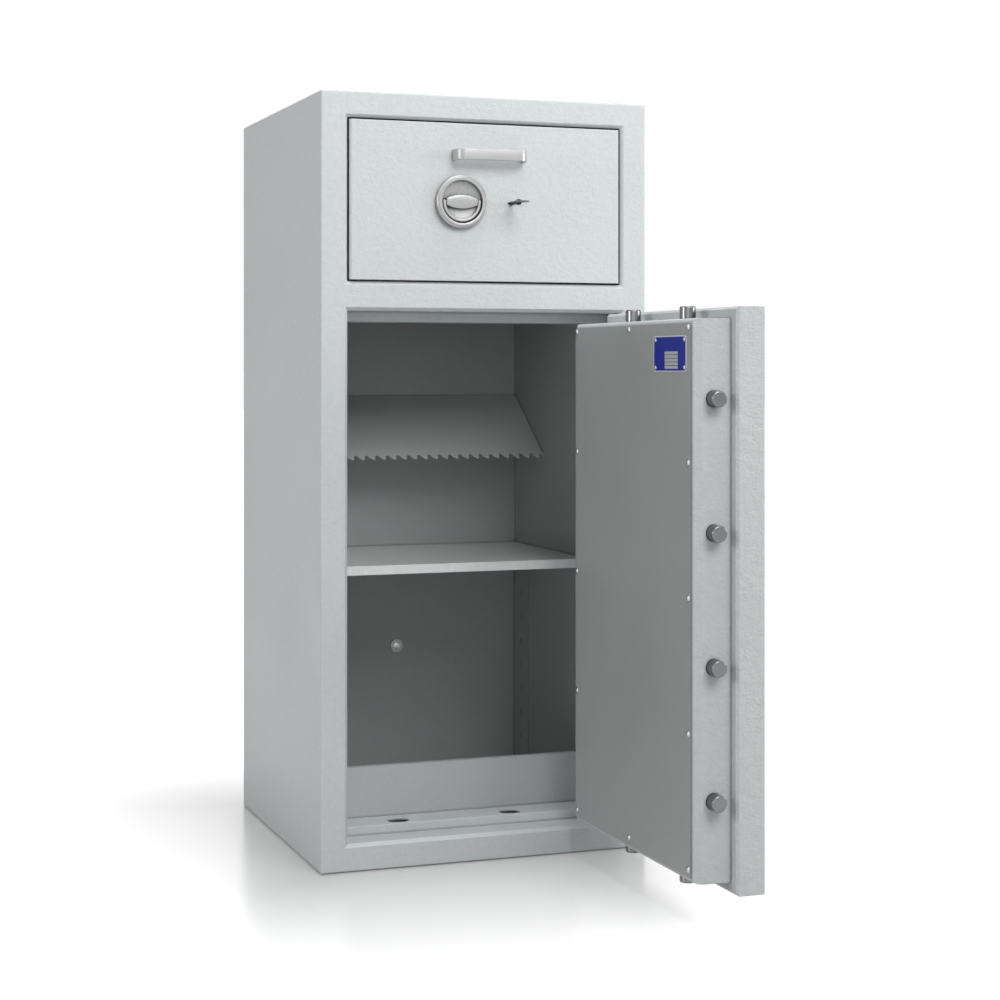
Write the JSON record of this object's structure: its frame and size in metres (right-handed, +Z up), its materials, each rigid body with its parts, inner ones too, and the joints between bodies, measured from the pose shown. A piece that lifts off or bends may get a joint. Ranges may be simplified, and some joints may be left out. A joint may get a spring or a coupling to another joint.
{
  "type": "drop safe with deposit drawer",
  "caption": "Free-standing deposit safe: a lockable drawer drops deposits past a saw-edged baffle into a compartment with a bolted swing door and a shelf.",
  "frame": {"origin": "centre of the body's base, on the floor", "axes": "+Z up, the front faces -Y, +X to the right seen from the front; the door is open at a right angle at rest"},
  "size_m": [0.6566, 1.1712, 1.4],
  "materials": {
    "textured_grey_paint": "textured powder coat",
    "inner_grey_paint": "satin powder coat",
    "concrete_fill": "rough cast",
    "plated_sheet": "plated sheet, satin",
    "polished_steel": "polished",
    "satin_metal": "satin",
    "dark_steel": "satin"
  },
  "bodies": {
    "safe_body": {"front_frame": "textured_grey_paint", "outer_casing": "textured_grey_paint", "wall_infill": "concrete_fill", "inner_liner": "inner_grey_paint", "anchor_sleeve": "satin_metal", "door_sill": "textured_grey_paint", "head_beam": "textured_grey_paint", "lock_side_jamb": "textured_grey_paint", "hinge_side_jamb": "textured_grey_paint", "retaining_sill": "inner_grey_paint", "drop_baffle": "inner_grey_paint", "storage_shelf": "inner_grey_paint", "shelf_strip_left": "inner_grey_paint", "shelf_strip_right": "inner_grey_paint", "drawer_runner_left": "plated_sheet", "drawer_runner_right": "plated_sheet", "hinge_knuckle_bottom": "textured_grey_paint", "hinge_knuckle_top": "textured_grey_paint", "hinge_pin_bottom": "polished_steel", "hinge_pin_top": "polished_steel"},
    "door": {"door_shell": "textured_grey_paint", "door_infill": "concrete_fill", "bolt_box": "textured_grey_paint", "boltwork_cover": "plated_sheet", "boltwork_plate": "plated_sheet", "hinge_leaf_bottom": "textured_grey_paint", "hinge_leaf_top": "textured_grey_paint", "door_handle_rose": "satin_metal", "door_lock_case": "plated_sheet"},
    "door_handle": {"door_handle_hub": "satin_metal", "door_cam": "plated_sheet"},
    "door_bail": {"door_handle_bail": "satin_metal"},
    "side_bolts": {"side_bolt_bar": "plated_sheet", "side_bolt_1": "polished_steel", "side_bolt_2": "polished_steel", "side_bolt_3": "polished_steel", "side_bolt_4": "polished_steel"},
    "top_bolts": {"top_bolt_bar": "plated_sheet", "top_bolt_1": "polished_steel", "top_bolt_2": "polished_steel"},
    "bottom_bolts": {"bottom_bolt_bar": "plated_sheet", "bottom_bolt_1": "polished_steel", "bottom_bolt_2": "polished_steel"},
    "door_drum": {"door_lock_drum": "polished_steel"},
    "door_key_body": {"door_key": "dark_steel"},
    "door_lock_slider": {"door_lock_bolt": "polished_steel"},
    "drawer": {"drawer_front": "textured_grey_paint", "deposit_tray": "plated_sheet", "drawer_pull": "satin_metal", "drawer_handle_rose": "satin_metal", "drawer_lock_case": "plated_sheet"},
    "flap": {"drop_flap": "plated_sheet"},
    "drawer_handle": {"drawer_handle_hub": "satin_metal", "drawer_cam": "plated_sheet"},
    "drawer_bail": {"drawer_handle_bail": "satin_metal"},
    "drawer_left_bolt": {"drawer_bolt_left": "polished_steel"},
    "drawer_right_bolt": {"drawer_bolt_right": "polished_steel"},
    "drawer_drum": {"drawer_lock_drum": "polished_steel"},
    "drawer_key_body": {"drawer_key": "dark_steel"},
    "drawer_lock_slider": {"drawer_lock_bolt": "polished_steel"}
  },
  "joints": [
    {"name": "door_swing", "type": "hinge", "parent": "safe_body", "child": "door", "pos_m": [0.2856, -0.316, 0.52825], "axis": [0, 0, 1], "range_deg": [-90, 90]},
    {"name": "door_handle_turn", "type": "hinge", "parent": "door", "child": "door_handle", "pos_m": [0.2736, -0.6546, 0.52825], "axis": [1, 0, 0], "range_deg": [-90, 0]},
    {"name": "door_bail_fold", "type": "hinge", "parent": "door_handle", "child": "door_bail", "pos_m": [0.28105, -0.6546, 0.52925], "axis": [0, -1, 0], "range_deg": [0, 90]},
    {"name": "side_bolts_slide", "type": "slide", "parent": "door", "child": "side_bolts", "axis": [0, 1, 0], "range_m": [0, 0.0235]},
    {"name": "top_bolts_slide", "type": "slide", "parent": "door", "child": "top_bolts", "axis": [0, 0, 1], "range_m": [-0.0235, 0]},
    {"name": "bottom_bolts_slide", "type": "slide", "parent": "door", "child": "bottom_bolts", "axis": [0, 0, 1], "range_m": [0, 0.0235]},
    {"name": "door_key_turn", "type": "hinge", "parent": "door", "child": "door_drum", "pos_m": [0.2736, -0.5556, 0.52825], "axis": [1, 0, 0], "range_deg": [0, 180]},
    {"name": "door_key_pull", "type": "slide", "parent": "door_drum", "child": "door_key_body", "axis": [1, 0, 0], "range_m": [0, 0.08]},
    {"name": "door_lock_bolt_slide", "type": "slide", "parent": "door", "child": "door_lock_slider", "axis": [0, -1, 0], "range_m": [0, 0.009]},
    {"name": "drawer_slide", "type": "slide", "parent": "safe_body", "child": "drawer", "axis": [0, -1, 0], "range_m": [0, 0.3]},
    {"name": "drop_flap_tilt", "type": "hinge", "parent": "drawer", "child": "flap", "pos_m": [0, -0.234, 1.145], "axis": [1, 0, 0], "range_deg": [0, 28.6]},
    {"name": "drawer_handle_turn", "type": "hinge", "parent": "drawer", "child": "drawer_handle", "pos_m": [-0.053, -0.304, 1.206], "axis": [0, -1, 0], "range_deg": [0, 90]},
    {"name": "drawer_bail_fold", "type": "hinge", "parent": "drawer_handle", "child": "drawer_bail", "pos_m": [-0.053, -0.31145, 1.207], "axis": [-1, 0, 0], "range_deg": [0, 90]},
    {"name": "drawer_left_bolt_slide", "type": "slide", "parent": "drawer", "child": "drawer_left_bolt", "axis": [-1, 0, 0], "range_m": [0, 0.016]},
    {"name": "drawer_right_bolt_slide", "type": "slide", "parent": "drawer", "child": "drawer_right_bolt", "axis": [1, 0, 0], "range_m": [0, 0.016]},
    {"name": "drawer_key_turn", "type": "hinge", "parent": "drawer", "child": "drawer_drum", "pos_m": [0.046, -0.304, 1.206], "axis": [0, -1, 0], "range_deg": [0, 180]},
    {"name": "drawer_key_pull", "type": "slide", "parent": "drawer_drum", "child": "drawer_key_body", "axis": [0, -1, 0], "range_m": [0, 0.025]},
    {"name": "drawer_lock_bolt_slide", "type": "slide", "parent": "drawer", "child": "drawer_lock_slider", "axis": [-1, 0, 0], "range_m": [0, 0.009]}
  ],
  "couplings": [
    {"joint": "side_bolts_slide", "follows": "door_handle_turn", "m_per_rad": -0.014961},
    {"joint": "top_bolts_slide", "follows": "door_handle_turn", "m_per_rad": 0.014961},
    {"joint": "bottom_bolts_slide", "follows": "door_handle_turn", "m_per_rad": -0.014961},
    {"joint": "door_lock_bolt_slide", "follows": "door_key_turn", "m_per_rad": 0.0028648},
    {"joint": "drop_flap_tilt", "follows": "drawer_slide", "rad_per_m": 1.6639},
    {"joint": "drawer_left_bolt_slide", "follows": "drawer_handle_turn", "m_per_rad": 0.010186},
    {"joint": "drawer_right_bolt_slide", "follows": "drawer_handle_turn", "m_per_rad": 0.010186},
    {"joint": "drawer_lock_bolt_slide", "follows": "drawer_key_turn", "m_per_rad": 0.0028648}
  ]
}
